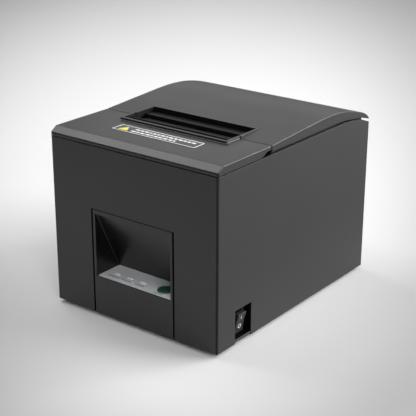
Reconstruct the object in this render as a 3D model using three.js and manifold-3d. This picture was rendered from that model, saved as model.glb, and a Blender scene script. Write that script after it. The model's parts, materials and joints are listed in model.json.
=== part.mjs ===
// Desktop thermal receipt printer for 80 mm paper, with automatic cutter.
//
// Frame: millimetres, +Z up, -Y is the front with the indicator window, +X is the side with
// the power switch. The origin is on the surface the printer stands on, under its middle.
//
// Outlines named "side" are drawn in the Y-Z plane and extruded along X.

import * as THREE from 'three';
import { mergeVertices } from 'three/addons/utils/BufferGeometryUtils.js';
import Module from 'manifold-3d';

const wasm = await Module();
wasm.setup();

// ---------------------------------------------------------------- driving dimensions

const WIDTH = 145;
const DEPTH = 187.5;
const FOOT_HEIGHT = 3;
const WALL = 2.5;
const GAP = 0.3;
const ROUND = 32;
const CROWN_STEPS = 48;

// Working allowances: how far joined solids run into each other, how far a cut runs past a face,
// and heights below and above every piece.
const BITE = 0.5;
const FIT = 0.02;
const LAP = 1;
const BELOW = -1;
const ABOVE = 140;

const OUT_X = WIDTH / 2;
const OUT_Y = DEPTH / 2;
const IN_X = OUT_X - WALL;
const IN_Y = OUT_Y - WALL;

// Body and lids, heights above the table.
const SHELL_TOP = 126.6;
const LID = { bottom: 127, nose: 129.4, top: 133, chamferY: -88.1, rearY: -35.5 };
const RIB = { x: 67.6, y0: -31.8, y1: 86.4, bottom: 120, seatZ: 121.4, top: 129.4, slack: 0.4 };
const RIB_TOP = [[RIB.y1, 123.6], [80, 125.2], [70, 127.6], [62, RIB.top], [RIB.y0, RIB.top]];
const COVER = { frontY: -34.9, lowZ: 128.4, tipY: 93.5, tipZ: 121.6, tipInY: 90.6, tipInZ: 122.2 };
// Line along the top of the shell's side walls, rear to front.
const SHELL_RIM = [[OUT_Y, 119.2], [80.9, 124], [69.9, 125.6], [58.9, SHELL_TOP]];
const REAR_WALL_TOP = 118.5;

// Line along the top of the cover, front to rear.
const COVER_CROWN = [
  [COVER.frontY, 133.1], [0, 135.1], [34, 136.7], [58, 135], [80, 129.7], [90, 125.3],
  [COVER.tipY, COVER.tipZ],
];
// Lower edge of the cover's side band, rear to front.
const COVER_HEM = [[81.6, 125], [69.8, 126.5], [58.8, 127.9], [45, 128.8], [COVER.frontY, COVER.lowZ]];

// Paper exit: a raised frame, half on the lid and half on the cover.
const EXIT = {
  outX: 47, inX: 45, frontY: -50.5, lipY: -48.2, rearY: -12.5, wallY: -14.5, top: 134.6, corner: 1.5,
};
const SHELF = { edgeY: -25.5, edgeZ: 132.1, rearZ: 130.7, thick: 1.2, skirtZ: 129.2 };
// Sloping floor under the front of the exit, and the hollow under the lid's skin.
const EXIT_FLOOR = { rearY: -39, frontTop: 131, rearTop: 129.1, thick: 1.2 };
const LID_HOLLOW = { noseDrop: 0.9, chamferSet: 1.2, rearY: -30, openZ: 110 };
const FINGER_NOTCH = [[-46.5, 126.9], [-40, 129.9], [-30, 129.9], [-30, 126.9]];
const LABEL = { x0: -36.3, x1: 35.7, y0: -71, y1: -59, lift: 0.02, thick: 0.2 };
const TEAR = { frontY: -38, rearY: -37, halfX: 44.6, bottom: 129.3, top: 132.1 };

// Front panel with its sloping window recess.
const PANEL = { openX: 36.5, halfX: 35.3, openTop: 81.2, top: 81 };
const WINDOW = {
  halfX: 33.3, bottom: 31.3, top: 77.7, topY: -92.3, floorZ: 29.8, sillY: -92.7, backY: -70.1,
};
const POCKET = { wall: 1.5, lean: 1.35, frontY: -92, roof: 1.5, slopeRoof: 0.7 };
const KEYPAD = { halfX: 33, frontY: -92.4, rearY: -70.4, bottom: 30.1, top: 31.6, rowY: -83.5 };
const BUTTON = { x: 20.3, r: 5.3, bottom: 30.7, top: 32.6, stemR: 2, stemBottom: 26.5 };
const LAMP = { xs: [-22.6, -11, 0.6], halfX: 2.3, halfY: 1.1, bottom: 23.6, top: 31.75 };
const LAMP_BOARD = { halfX: 31, y0: -89, y1: -71, bottom: 20, top: 21.6 };

// Power switch on the right side.
const RECESS = { y0: -73.7, y1: -55.5, top: 27.4, backX: 66, wall: 1.5 };
const STRIP = { innerX: 62, outerX: 72.3, top: 5.7, gap: 0.5, cutIn: 2 };
const SWITCH = {
  y: -64.6, z: 16.5, pivotX: 65.2, tiltDeg: 13.3, face: 5.2, halfZ: 7.3, halfY: 4.4, dish: 0.35,
};
// Back of the rocker, in the switch's own axes: out of the wall and up.
const ROCKER_BACK = [[2, 7.1], [-1.5, 2.2], [-2.2, 0], [-1.5, -2.2], [2, -7.1]];
const HOUSING = {
  innerX: 48, bezel: 1.5, bezelY: 6.6, bezelZ: 10, bodyY: 5.4, bodyZ: 9, cavityZ: 8.3, cavityX: 60,
};

// Cover hinge.
const HINGE = { y: 88.5, z: 112, pinR: 2, eyeR: 5, armX0: 48, armX1: 56, postW: 3.5, notchZ: 106, slack: 1 };
const HINGE_PIN = { x0: 43.8, x1: 60.2, boreX0: 40, boreX1: 64 };
const POST = { foot: 14, rear: 3, bevel: 2, front: 8 };

// Inner moulding of the cover: its plate under the crown, and one hinge arm.
const LINER = { halfX: 66, y0: -24, y1: 74, drop: 5.6, thick: 1.8 };
const LINER_ARM = [
  [66, 127.2], [66, 124.2], [79, 118], [HINGE.y - HINGE.eyeR, HINGE.z], [HINGE.y - 3.5, HINGE.z - 3.5],
  [HINGE.y, HINGE.z - HINGE.eyeR], [HINGE.y + 3.5, HINGE.z - 3.5], [HINGE.y + HINGE.eyeR, HINGE.z],
  [HINGE.y + 3, HINGE.z + 5], [84, 122], [74, 126.4],
];

// Paper bay.
const BAY = { y: 33, z: 67, r: 42.5, halfX: 41.5, wall: 1.8, frontZ: 104, rimZ: 112, rimY: 80, steps: 20 };
const SENSOR = { x0: -52, x1: -44, y0: 20, y1: 34, z0: 50, z1: 60 };

// Gears: module, pressure angle and shortened teeth, in millimetres and degrees.
const GEAR = { module: 0.8, pressureDeg: 25, addendum: 0.8, dedendum: 1.05, backlash: 0.16, slack: 0.05 };
const TEETH = { platen: 16, idler: 28, motor: 12, cutter: 14 };
const pitchR = (teeth) => (GEAR.module * teeth) / 2;

// Print mechanism.
const PLATEN = { y: -29.5, z: 117, r: 7, halfX: 40.5, shaftR: 2.5, shaftX0: -60, shaftX1: 54 };
const GEAR_X = { x0: -59.5, x1: -54.5 };
const IDLER_POST = { r: 2, x0: -61 };
const BUSH = { x0: 45, x1: 52, r: 4 };
const CHEEK = { x0: 49, x1: 52, y0: -35.2, y1: -14, z0: 111, z1: 128.1 };
const CHASSIS = { x0: 46, x1: 47.2, y0: -80, y1: -18, z0: 66, z1: 124, footY: -44, riseZ: 84, frontTop: 118 };
const BUSH_SLOT_FLARE = 1;
const CROSS_WALL = { y0: -50, y1: -48.8, z0: 104, z1: 121.5 };
const HEAD = { faceY: -36.9, ceramic: 1.1, sink: 4, z0: 106, z1: 122, halfX: 42 };
const HEAD_SPRING = { x: 26, z: 114, coilR: 2.2, wireR: 0.35, coils: 4, steps: 48, slack: 0.4 };
const LOCK = {
  y: -52.5, z: 110, rodR: 2, x0: 47.5, x1: 48.7,
  arm: [
    [-56.5, 107], [-48.5, 107], [-46.5, 114], [-37.6, 116.4], [-35.6, 120.8],
    [-34.6, 121.4], [-35, 123.6], [-39.6, 123.6], [-53.5, 118],
  ],
};
const FEED_MOTOR = { angleDeg: 215, r: 13, x0: -45.5, x1: -24 };

// Cutter.
const BLADE = { halfX: 42.5, y0: -82, edgeY: -38.8, veeY: -42.3, z0: 126.2, z1: 127 };
const FIXED_BLADE = { halfX: 42, y0: -35.9, y1: -27, z0: 125.2, z1: 126 };
const BLADE_HOLDER = { halfX: 44, y0: -33.2, y1: -26, z0: 126.3, z1: 128.9 };
const CUTTER_FRAME = { halfX: 45, railX: 43, y0: -86, y1: -41, z0: 124.3, z1: 125.3, railZ: 127 };
const CUTTER_DRIVE = { x: 13, y: -66, motorR: 10, motorZ0: 96, motorZ1: 122, z0: 125.6, z1: 127.4 };
const CUT_STROKE = 5;
const AXLE_R = 1.5;

// Floor of the body and what stands on it.
const TRAY = { bottom: 3.8, top: 6.3, halfX: 69.4, halfY: 90.9 };
const FOOT = { x: 56, y: 76, r: 6, top: 3.5 };
const BOARD_POST = { xs: [50, -50], ys: [-32, 62], r: 3.5 };
const MECH_FOOT = { xs: [43, -43], ys: [-74, -48], halfX: 2.5, halfY: 3 };
const BOSS = { half: 4.5, outward: 0.3, top: 20 };
const SCREW = { x: 65.5, y: 86.5, headR: 2.7, headZ0: 3.6, headZ1: 4.9, shaftR: 1.4, tipZ: 14, boreTop: 16 };
const BOARD = { halfX: 58, y0: -38, y1: 88, bottom: 12, top: 13.6 };
const PORT = { y0: 77, y1: 93.2, bottom: 13.9, wallGap: 0.4 };
const RIBBON = {
  halfX: 15, thick: 0.5,
  line: [[-20, 14.2], [-34, 14.2], [-40, 17], [-42, 23], [-42, 96], [-40.4, 105.1]],
};
const KEY_SWITCH = { half: 3, gap: 1.1 };
const PORTS = {
  dc_inlet: { x: -50, width: 12, height: 12, holeW: 9, holeH: 9, depth: 9 },
  drawer_port: { x: -28, width: 13.2, height: 12.4, holeW: 9.8, holeH: 7, depth: 12 },
  lan_port: { x: -5, width: 16, height: 13.5, holeW: 11.9, holeH: 8.4, depth: 12 },
  usb_port: { x: 19, width: 12, height: 11, holeW: 8.6, holeH: 7.8, depth: 10 },
};

// ---------------------------------------------------------------- materials

const standard = (color, roughness, metalness = 0) =>
  new THREE.MeshStandardMaterial({ color, roughness, metalness });

const charcoal = standard(0x3a3a3a, 0.75);
const innerBlack = standard(0x1c1c1d, 0.7);
const paleGrey = standard(0x9a9c9e, 0.5);
const darkGreen = standard(0x24463a, 0.5);
const lampClear = standard(0xd9dcdc, 0.3);
const boardGreen = standard(0x1f5a3a, 0.55);
const rubberBlack = standard(0x161616, 0.9);
const steel = standard(0xb4b6b8, 0.35, 1);
const aluminium = standard(0xc4c6c8, 0.45, 1);
const ceramicWhite = standard(0xe4e2da, 0.4);
const gearWhite = standard(0xe8e6df, 0.5);
const labelBlack = standard(0x2a2a2a, 0.45);
const ribbonWhite = standard(0xd8d4c4, 0.6);

// ---------------------------------------------------------------- shape helpers

// A closed geometry as a manifold solid.
function solid(geometry) {
  const bare = geometry.index ? geometry.clone() : geometry;
  bare.deleteAttribute('normal');
  bare.deleteAttribute('uv');
  const merged = mergeVertices(bare, 1e-4);
  return new wasm.Manifold(new wasm.Mesh({
    numProp: 3,
    vertProperties: new Float32Array(merged.attributes.position.array),
    triVerts: new Uint32Array(merged.index.array),
  }));
}

function box(x0, x1, y0, y1, z0, z1) {
  const geometry = new THREE.BoxGeometry(x1 - x0, y1 - y0, z1 - z0);
  geometry.translate((x0 + x1) / 2, (y0 + y1) / 2, (z0 + z1) / 2);
  return solid(geometry);
}

const AXES = {
  x: new THREE.Vector3(1, 0, 0), y: new THREE.Vector3(0, 1, 0), z: new THREE.Vector3(0, 0, 1),
};

// Outline in the plane across an axis, extruded along that axis from one value to the other.
function prism(axis, outline, from, to) {
  const shape = outline instanceof THREE.Shape
    ? outline
    : new THREE.Shape(outline.map(([a, b]) => new THREE.Vector2(a, b)));
  const depth = to - from;
  const geometry = new THREE.ExtrudeGeometry(shape, { depth, bevelEnabled: false, curveSegments: 8 });
  geometry.translate(0, 0, from);
  const turn = new THREE.Matrix4();
  if (axis === 'x') turn.makeBasis(AXES.y, AXES.z, AXES.x);
  if (axis === 'y') turn.makeBasis(AXES.z, AXES.x, AXES.y);
  geometry.applyMatrix4(turn);
  return solid(geometry);
}

// Round bar along an axis. The centre is given in the plane across it: y, z or z, x or x, y.
function bar(axis, r, from, to, a, b, sides = ROUND) {
  const circle = new THREE.Shape();
  const points = [];
  for (let i = 0; i < sides; i += 1) {
    const t = (2 * Math.PI * i) / sides;
    points.push(new THREE.Vector2(a + r * Math.cos(t), b + r * Math.sin(t)));
  }
  circle.setFromPoints(points);
  return prism(axis, circle, from, to);
}

const join = (first, ...rest) => rest.reduce((a, b) => a.add(b), first);
const cut = (first, ...rest) => rest.reduce((a, b) => a.subtract(b), first);

// The same solid on both sides of the middle plane x = 0.
const bothSides = (make) => join(make(1), make(-1));
const sideBox = (side, x0, x1, y0, y1, z0, z1) =>
  box(Math.min(side * x0, side * x1), Math.max(side * x0, side * x1), y0, y1, z0, z1);
const sidePrism = (side, outline, x0, x1) =>
  prism('x', outline, Math.min(side * x0, side * x1), Math.max(side * x0, side * x1));
const sideBar = (side, r, x0, x1, y, z, sides) =>
  bar('x', r, Math.min(side * x0, side * x1), Math.max(side * x0, side * x1), y, z, sides);

const printer = new THREE.Group();

function place(name, shape, material) {
  const { vertProperties, triVerts } = shape.getMesh();
  const geometry = new THREE.BufferGeometry();
  geometry.setAttribute('position', new THREE.BufferAttribute(new Float32Array(vertProperties), 3));
  geometry.setIndex(new THREE.BufferAttribute(new Uint32Array(triVerts), 1));
  geometry.computeVertexNormals();
  const mesh = new THREE.Mesh(geometry, material);
  mesh.name = name;
  printer.add(mesh);
}

// Smooth curve through points, as a list of [a, b].
function smooth(points, steps) {
  const curve = new THREE.SplineCurve(points.map(([a, b]) => new THREE.Vector2(a, b)));
  return curve.getSpacedPoints(steps).map((p) => [p.x, p.y]);
}

// ---------------------------------------------------------------- gear teeth

const involute = (angle) => Math.tan(angle) - angle;

// Involute gear outline about a centre. The middle of one tooth points along phase (radians).
function gearOutline(teeth, phase, centreA, centreB) {
  const r = pitchR(teeth);
  const pressure = THREE.MathUtils.degToRad(GEAR.pressureDeg);
  const baseR = r * Math.cos(pressure);
  const tipR = r + GEAR.addendum * GEAR.module;
  const rootR = r - GEAR.dedendum * GEAR.module;
  const halfAtPitch = Math.PI / (2 * teeth) - GEAR.backlash / (2 * r);
  const halfAt = (radius) => {
    const angle = radius > baseR ? Math.acos(baseR / radius) : 0;
    return halfAtPitch + involute(pressure) - involute(angle);
  };
  const flank = [rootR, Math.max(rootR, baseR), r, tipR];
  const radii = rootR > baseR ? flank.slice(1) : flank;
  const points = [];
  for (let i = 0; i < teeth; i += 1) {
    const middle = phase + (2 * Math.PI * i) / teeth;
    const rising = radii.map((radius) => [radius, middle - halfAt(radius)]);
    const falling = radii.map((radius) => [radius, middle + halfAt(radius)]).reverse();
    for (const [radius, t] of [...rising, ...falling]) {
      points.push([centreA + radius * Math.cos(t), centreB + radius * Math.sin(t)]);
    }
  }
  return points;
}

// Centres of the feed gears in the Y-Z plane, and the phase that puts each in mesh with the last.
const idlerY = PLATEN.y;
const idlerZ = PLATEN.z - pitchR(TEETH.platen) - pitchR(TEETH.idler) - GEAR.slack;
const motorAngle = THREE.MathUtils.degToRad(FEED_MOTOR.angleDeg);
const motorReach = pitchR(TEETH.idler) + pitchR(TEETH.motor) + GEAR.slack;
const motorY = idlerY + motorReach * Math.cos(motorAngle);
const motorZ = idlerZ + motorReach * Math.sin(motorAngle);
const platenPhase = -Math.PI / 2;
const idlerPhase = Math.PI / 2 + Math.PI / TEETH.idler;
const idlerPitch = (2 * Math.PI) / TEETH.idler;
const idlerOffset = Math.round((motorAngle - idlerPhase) / idlerPitch) * idlerPitch + idlerPhase - motorAngle;
const motorPhase = motorAngle + Math.PI + Math.PI / TEETH.motor - (idlerOffset * TEETH.idler) / TEETH.motor;

// ---------------------------------------------------------------- body

function mainShell() {
  const side = [[-OUT_Y, FOOT_HEIGHT], [OUT_Y, FOOT_HEIGHT], ...SHELL_RIM, [-OUT_Y, SHELL_TOP]];
  let shell = cut(
    prism('x', side, -OUT_X, OUT_X),
    box(-IN_X, IN_X, -IN_Y, IN_Y, BELOW, ABOVE),
    box(-IN_X, IN_X, IN_Y - LAP, OUT_Y + LAP, REAR_WALL_TOP, ABOVE),
    box(-PANEL.openX, PANEL.openX, -OUT_Y - LAP, -IN_Y + LAP, BELOW, PANEL.openTop),
  );
  shell = join(shell, bothSides(coverRib), bothSides(hingePosts), screwBosses(), switchPocket());
  shell = cut(
    shell,
    box(RECESS.backX, OUT_X + LAP, RECESS.y0, RECESS.y1, BELOW, RECESS.top),
    box(RECESS.backX - STRIP.cutIn, RECESS.backX + LAP, RECESS.y0, RECESS.y1, BELOW, STRIP.top + GAP),
    housingBlock(RECESS.backX - STRIP.cutIn, RECESS.backX + LAP, HOUSING.bodyY + GAP, HOUSING.bodyZ + GAP),
    bothSides(hingeNotch),
  );
  for (const port of Object.values(PORTS)) shell = cut(shell, portHole(port));
  for (const [x, y] of corners(SCREW.x, SCREW.y)) {
    shell = cut(shell, bar('z', SCREW.shaftR + GAP, BELOW, SCREW.boreTop, x, y, 16));
  }
  return shell;
}

// Rib inside each side wall that stands up behind the cover's side band and keeps dust out.
function coverRib(side) {
  const foot = [[RIB.y0, RIB.bottom], [RIB.y1, RIB.bottom]];
  const seat = SHELL_RIM.filter(([y]) => y < RIB.y1).map(([y, z]) => [y, z - BITE]);
  return join(
    sidePrism(side, [...foot, [RIB.y1, RIB.seatZ], ...seat, [RIB.y0, SHELL_TOP - BITE]], RIB.x, IN_X + BITE),
    sidePrism(side, [...foot, ...RIB_TOP], RIB.x, IN_X - RIB.slack),
  );
}

// Two posts on the rear wall, one each side of a hinge arm.
function hingePosts(side) {
  const post = [
    [IN_Y + BITE, HINGE.z - POST.foot], [IN_Y + BITE, HINGE.z + POST.rear],
    [HINGE.y + POST.bevel, HINGE.z + HINGE.eyeR], [HINGE.y - POST.bevel, HINGE.z + HINGE.eyeR],
    [HINGE.y - HINGE.eyeR, HINGE.z + POST.bevel], [HINGE.y - HINGE.eyeR, HINGE.z - POST.front],
  ];
  const inner = HINGE.armX0 - HINGE.slack;
  const outer = HINGE.armX1 + HINGE.slack;
  const posts = join(
    sidePrism(side, post, inner - HINGE.postW, inner),
    sidePrism(side, post, outer, outer + HINGE.postW),
  );
  return cut(posts, hingeBore(side));
}

const hingeBore = (side) =>
  sideBar(side, HINGE.pinR + GAP, HINGE_PIN.boreX0, HINGE_PIN.boreX1, HINGE.y, HINGE.z, 24);
const hingeNotch = (side) => sideBox(
  side, HINGE.armX0 - HINGE.slack, HINGE.armX1 + HINGE.slack, IN_Y - LAP, OUT_Y + LAP, HINGE.notchZ, ABOVE,
);

const everyPair = ({ xs, ys }) => xs.flatMap((x) => ys.map((y) => [x, y]));
const corners = (x, y) => [[x, y], [-x, y], [-x, -y], [x, -y]];

function screwBosses() {
  const { half, outward, top } = BOSS;
  const blocks = corners(SCREW.x, SCREW.y).map(([x, y]) => box(
    x - half, x + half + outward * Math.sign(x), y - half, y + half + outward * Math.sign(y),
    TRAY.top + GAP, top,
  ));
  return join(...blocks);
}

// Walls of the recess that the power switch sits in.
function switchPocket() {
  const { y0, y1, top, backX, wall } = RECESS;
  return box(backX - wall, IN_X + BITE, y0 - wall, y1 + wall, FOOT_HEIGHT, top + wall);
}

// Block centred on the switch, between two depths, with the given half sizes.
function housingBlock(x0, x1, halfY, halfZ) {
  return box(x0, x1, SWITCH.y - halfY, SWITCH.y + halfY, SWITCH.z - halfZ, SWITCH.z + halfZ);
}

function portHole(port) {
  const half = port.width / 2 + PORT.wallGap;
  return box(
    port.x - half, port.x + half, IN_Y - LAP, OUT_Y + LAP,
    PORT.bottom - PORT.wallGap, PORT.bottom + port.height + PORT.wallGap,
  );
}

function bottomTray() {
  const { bottom, top, halfX, halfY } = TRAY;
  const reach = RECESS.wall + GAP;
  const notch = box(RECESS.backX - reach, OUT_X, RECESS.y0 - reach, RECESS.y1 + reach, BELOW, top + LAP);
  const strip = box(
    STRIP.innerX, STRIP.outerX, RECESS.y0 + STRIP.gap, RECESS.y1 - STRIP.gap, bottom, STRIP.top,
  );
  let tray = join(cut(box(-halfX, halfX, -halfY, halfY, bottom, top), notch), strip);
  for (const [x, y] of everyPair(BOARD_POST)) {
    tray = join(tray, bar('z', BOARD_POST.r, top - BITE, BOARD.bottom - GAP, x, y, 20));
  }
  for (const [x, y] of everyPair(MECH_FOOT)) {
    const { halfX: a, halfY: b } = MECH_FOOT;
    tray = join(tray, box(x - a, x + a, y - b, y + b, top - BITE, CHASSIS.z0 - GAP));
  }
  for (const [x, y] of corners(SCREW.x, SCREW.y)) {
    tray = cut(
      tray,
      bar('z', SCREW.shaftR + GAP, BELOW, top + LAP, x, y, 16),
      bar('z', SCREW.headR + GAP, BELOW, SCREW.headZ1 + GAP, x, y, 20),
    );
  }
  return tray;
}

function trayScrew(x, y) {
  return join(
    bar('z', SCREW.headR, SCREW.headZ0, SCREW.headZ1, x, y, 20),
    bar('z', SCREW.shaftR, SCREW.headZ1 - BITE, SCREW.tipZ, x, y, 12),
  );
}

// ---------------------------------------------------------------- front panel and keypad

function frontPanel() {
  const { halfX, bottom, top, topY, floorZ, sillY, backY } = WINDOW;
  const { wall, lean, frontY, roof, slopeRoof } = POCKET;
  const pocket = [
    [frontY, floorZ - wall], [backY + wall, floorZ - wall], [backY + wall, bottom + GAP],
    [topY + lean, top + slopeRoof], [topY + lean, top + roof], [frontY, top + roof],
  ];
  const hollow = [
    [sillY, floorZ], [backY, floorZ], [backY, bottom], [topY, top],
    [-OUT_Y - LAP, top], [-OUT_Y - LAP, bottom], [sillY, bottom],
  ];
  const solidPanel = join(
    box(-PANEL.halfX, PANEL.halfX, -OUT_Y, -IN_Y, FOOT_HEIGHT, PANEL.top),
    prism('x', pocket, -halfX - wall, halfX + wall),
  );
  return cut(solidPanel, prism('x', hollow, -halfX, halfX), keypadHoles(GAP, floorZ - wall - LAP));
}

// Openings for the lamps and the button's stem.
function keypadHoles(clear, fromZ) {
  const lamps = LAMP.xs.map((x) => box(
    x - LAMP.halfX - clear, x + LAMP.halfX + clear,
    KEYPAD.rowY - LAMP.halfY - clear, KEYPAD.rowY + LAMP.halfY + clear, fromZ, KEYPAD.top + LAP,
  ));
  return join(...lamps, bar('z', BUTTON.stemR + clear, fromZ, KEYPAD.top + LAP, BUTTON.x, KEYPAD.rowY, 20));
}

function keypadPlate() {
  const plate = box(-KEYPAD.halfX, KEYPAD.halfX, KEYPAD.frontY, KEYPAD.rearY, KEYPAD.bottom, KEYPAD.top);
  const buttonHole = bar('z', BUTTON.r + GAP, BELOW, KEYPAD.top + LAP, BUTTON.x, KEYPAD.rowY);
  return cut(plate, keypadHoles(GAP, BELOW), buttonHole);
}

function feedButton() {
  return join(
    bar('z', BUTTON.r, BUTTON.bottom, BUTTON.top, BUTTON.x, KEYPAD.rowY),
    bar('z', BUTTON.stemR, BUTTON.stemBottom, BUTTON.bottom + BITE, BUTTON.x, KEYPAD.rowY, 20),
  );
}

// ---------------------------------------------------------------- power switch

// The switch's own axes: out of the wall and up, turned by the resting tilt.
function switchOutline(points, tiltDeg) {
  const tilt = THREE.MathUtils.degToRad(tiltDeg);
  return points.map(([out, up]) => [
    SWITCH.z + up * Math.cos(tilt) - out * Math.sin(tilt),
    SWITCH.pivotX + out * Math.cos(tilt) + up * Math.sin(tilt),
  ]);
}

function powerRocker() {
  const { face, halfZ, halfY, dish, y } = SWITCH;
  const profile = [[face, -halfZ], [face - dish, 0], [face, halfZ], ...ROCKER_BACK];
  return prism('y', switchOutline(profile, SWITCH.tiltDeg), y - halfY, y + halfY);
}

function switchHousing() {
  const { innerX, bezel, bezelY, bezelZ, bodyY, bodyZ, cavityX, cavityZ } = HOUSING;
  const bezelX = RECESS.backX + GAP;
  return cut(
    join(
      housingBlock(bezelX, bezelX + bezel, bezelY, bezelZ),
      housingBlock(innerX, bezelX + BITE, bodyY, bodyZ),
    ),
    housingBlock(cavityX, bezelX + bezel + LAP, SWITCH.halfY + GAP, cavityZ),
  );
}

// ---------------------------------------------------------------- front lid

// Raised rim of the paper exit between two depths, rounded at the front corners of the lid's half.
function exitRim(y0, y1, roundFront) {
  const { outX, corner, top } = EXIT;
  const plan = new THREE.Shape();
  const r = roundFront ? corner : 0;
  plan.moveTo(-outX, y1);
  plan.lineTo(-outX, y0 + r);
  if (r) plan.absarc(-outX + r, y0 + r, r, Math.PI, 1.5 * Math.PI);
  plan.lineTo(outX - r, y0);
  if (r) plan.absarc(outX - r, y0 + r, r, 1.5 * Math.PI, 2 * Math.PI);
  plan.lineTo(outX, y1);
  return prism('z', plan, LID.nose, top);
}

function frontLid() {
  const skin = [
    [-OUT_Y, LID.bottom], [-OUT_Y, LID.nose], [LID.chamferY, LID.top],
    [LID.rearY, LID.top], [LID.rearY, LID.bottom],
  ];
  const under = LID.top - WALL;
  const { noseDrop, chamferSet, rearY, openZ } = LID_HOLLOW;
  const hollow = [
    [-IN_Y, openZ], [-IN_Y, LID.nose - noseDrop], [LID.chamferY + chamferSet, under],
    [rearY, under], [rearY, openZ],
  ];
  const floor = [
    [EXIT.lipY - BITE, EXIT_FLOOR.frontTop], [EXIT_FLOOR.rearY, EXIT_FLOOR.rearTop],
    [EXIT_FLOOR.rearY, EXIT_FLOOR.rearTop - EXIT_FLOOR.thick],
    [EXIT.lipY - BITE, EXIT_FLOOR.frontTop - EXIT_FLOOR.thick],
  ];
  const lid = cut(
    join(
      cut(prism('x', skin, -OUT_X, OUT_X), prism('x', hollow, -IN_X, IN_X)),
      exitRim(EXIT.frontY, LID.rearY, true),
    ),
    box(-EXIT.inX, EXIT.inX, EXIT.lipY, rearY, openZ, ABOVE),
    bothSides((side) => sidePrism(side, FINGER_NOTCH, IN_X - BITE, OUT_X + LAP)),
  );
  return join(lid, prism('x', floor, -EXIT.inX - BITE, EXIT.inX + BITE));
}

// ---------------------------------------------------------------- paper cover

function paperCover() {
  const { openZ } = LID_HOLLOW;
  const crown = smooth(COVER_CROWN, CROWN_STEPS);
  const skin = [...crown, ...COVER_HEM];
  const frontIn = COVER.frontY + WALL;
  const { tipInY, tipInZ } = COVER;
  const lower = crown.filter(([y]) => y > frontIn && y < tipInY - LAP).map(([y, z]) => [y, z - WALL]);
  const hollow = [[frontIn, openZ], [frontIn, lower[0][1]], ...lower, [tipInY, tipInZ], [tipInY, openZ]];
  const shelf = [
    [EXIT.wallY + BITE, SHELF.rearZ], [SHELF.edgeY, SHELF.edgeZ], [SHELF.edgeY, SHELF.skirtZ],
    [SHELF.edgeY + SHELF.thick, SHELF.skirtZ], [SHELF.edgeY + SHELF.thick, SHELF.edgeZ - SHELF.thick],
    [EXIT.wallY + BITE, SHELF.rearZ - SHELF.thick],
  ];
  const cover = cut(
    join(
      cut(prism('x', skin, -OUT_X, OUT_X), prism('x', hollow, -IN_X, IN_X)),
      exitRim(COVER.frontY, EXIT.rearY, false),
    ),
    box(-EXIT.inX, EXIT.inX, COVER.frontY - LAP, EXIT.wallY, openZ, ABOVE),
  );
  return join(cover, prism('x', shelf, -EXIT.inX - BITE, EXIT.inX + BITE));
}

// Inner moulding of the cover: a curved plate over the roll, cheeks for the platen, and hinge arms.
function coverLiner() {
  const { halfX, y0, y1, drop, thick } = LINER;
  const outer = smooth(COVER_CROWN, CROWN_STEPS).filter(([y]) => y > y0 && y < y1);
  const lowered = (by) => outer.map(([y, z]) => [y, z - by]);
  const plate = [...lowered(drop), ...lowered(drop + thick).reverse()];
  const cheek = [
    [CHEEK.y0, CHEEK.z0 + 3], [CHEEK.y0 + 3, CHEEK.z0], [CHEEK.y1 - 8, CHEEK.z0], [CHEEK.y1, CHEEK.z1 - 4],
    [CHEEK.y1, CHEEK.z1], [CHEEK.y0, CHEEK.z1],
  ];
  return cut(
    join(
      prism('x', plate, -halfX, halfX),
      bothSides((side) => sidePrism(side, cheek, CHEEK.x0, CHEEK.x1)),
      bothSides((side) => sidePrism(side, LINER_ARM, HINGE.armX0, HINGE.armX1)),
    ),
    bothSides(hingeBore),
    bothSides((side) => sideBar(side, BUSH.r + GAP, CHEEK.x0 - LAP, CHEEK.x1 + LAP, PLATEN.y, PLATEN.z)),
  );
}

function platenBushing(side) {
  return cut(
    sideBar(side, BUSH.r, BUSH.x0, BUSH.x1, PLATEN.y, PLATEN.z),
    sideBar(side, PLATEN.shaftR + GAP, BUSH.x0 - LAP, BUSH.x1 + LAP, PLATEN.y, PLATEN.z, 24),
  );
}

// ---------------------------------------------------------------- print mechanism

function platenRubber() {
  return cut(
    bar('x', PLATEN.r, -PLATEN.halfX, PLATEN.halfX, PLATEN.y, PLATEN.z, 40),
    bar('x', PLATEN.shaftR + FIT, -PLATEN.halfX - LAP, PLATEN.halfX + LAP, PLATEN.y, PLATEN.z, 24),
  );
}

function boredGear(teeth, phase, y, z, boreR) {
  return cut(
    prism('x', gearOutline(teeth, phase, y, z), GEAR_X.x0, GEAR_X.x1),
    bar('x', boreR, GEAR_X.x0 - LAP, GEAR_X.x1 + LAP, y, z, 24),
  );
}

function feedPinion() {
  return join(
    prism('x', gearOutline(TEETH.motor, motorPhase, motorY, motorZ), GEAR_X.x0, GEAR_X.x1),
    bar('x', AXLE_R, GEAR_X.x1 - BITE, FEED_MOTOR.x0 - GAP, motorY, motorZ, 16),
  );
}

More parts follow.
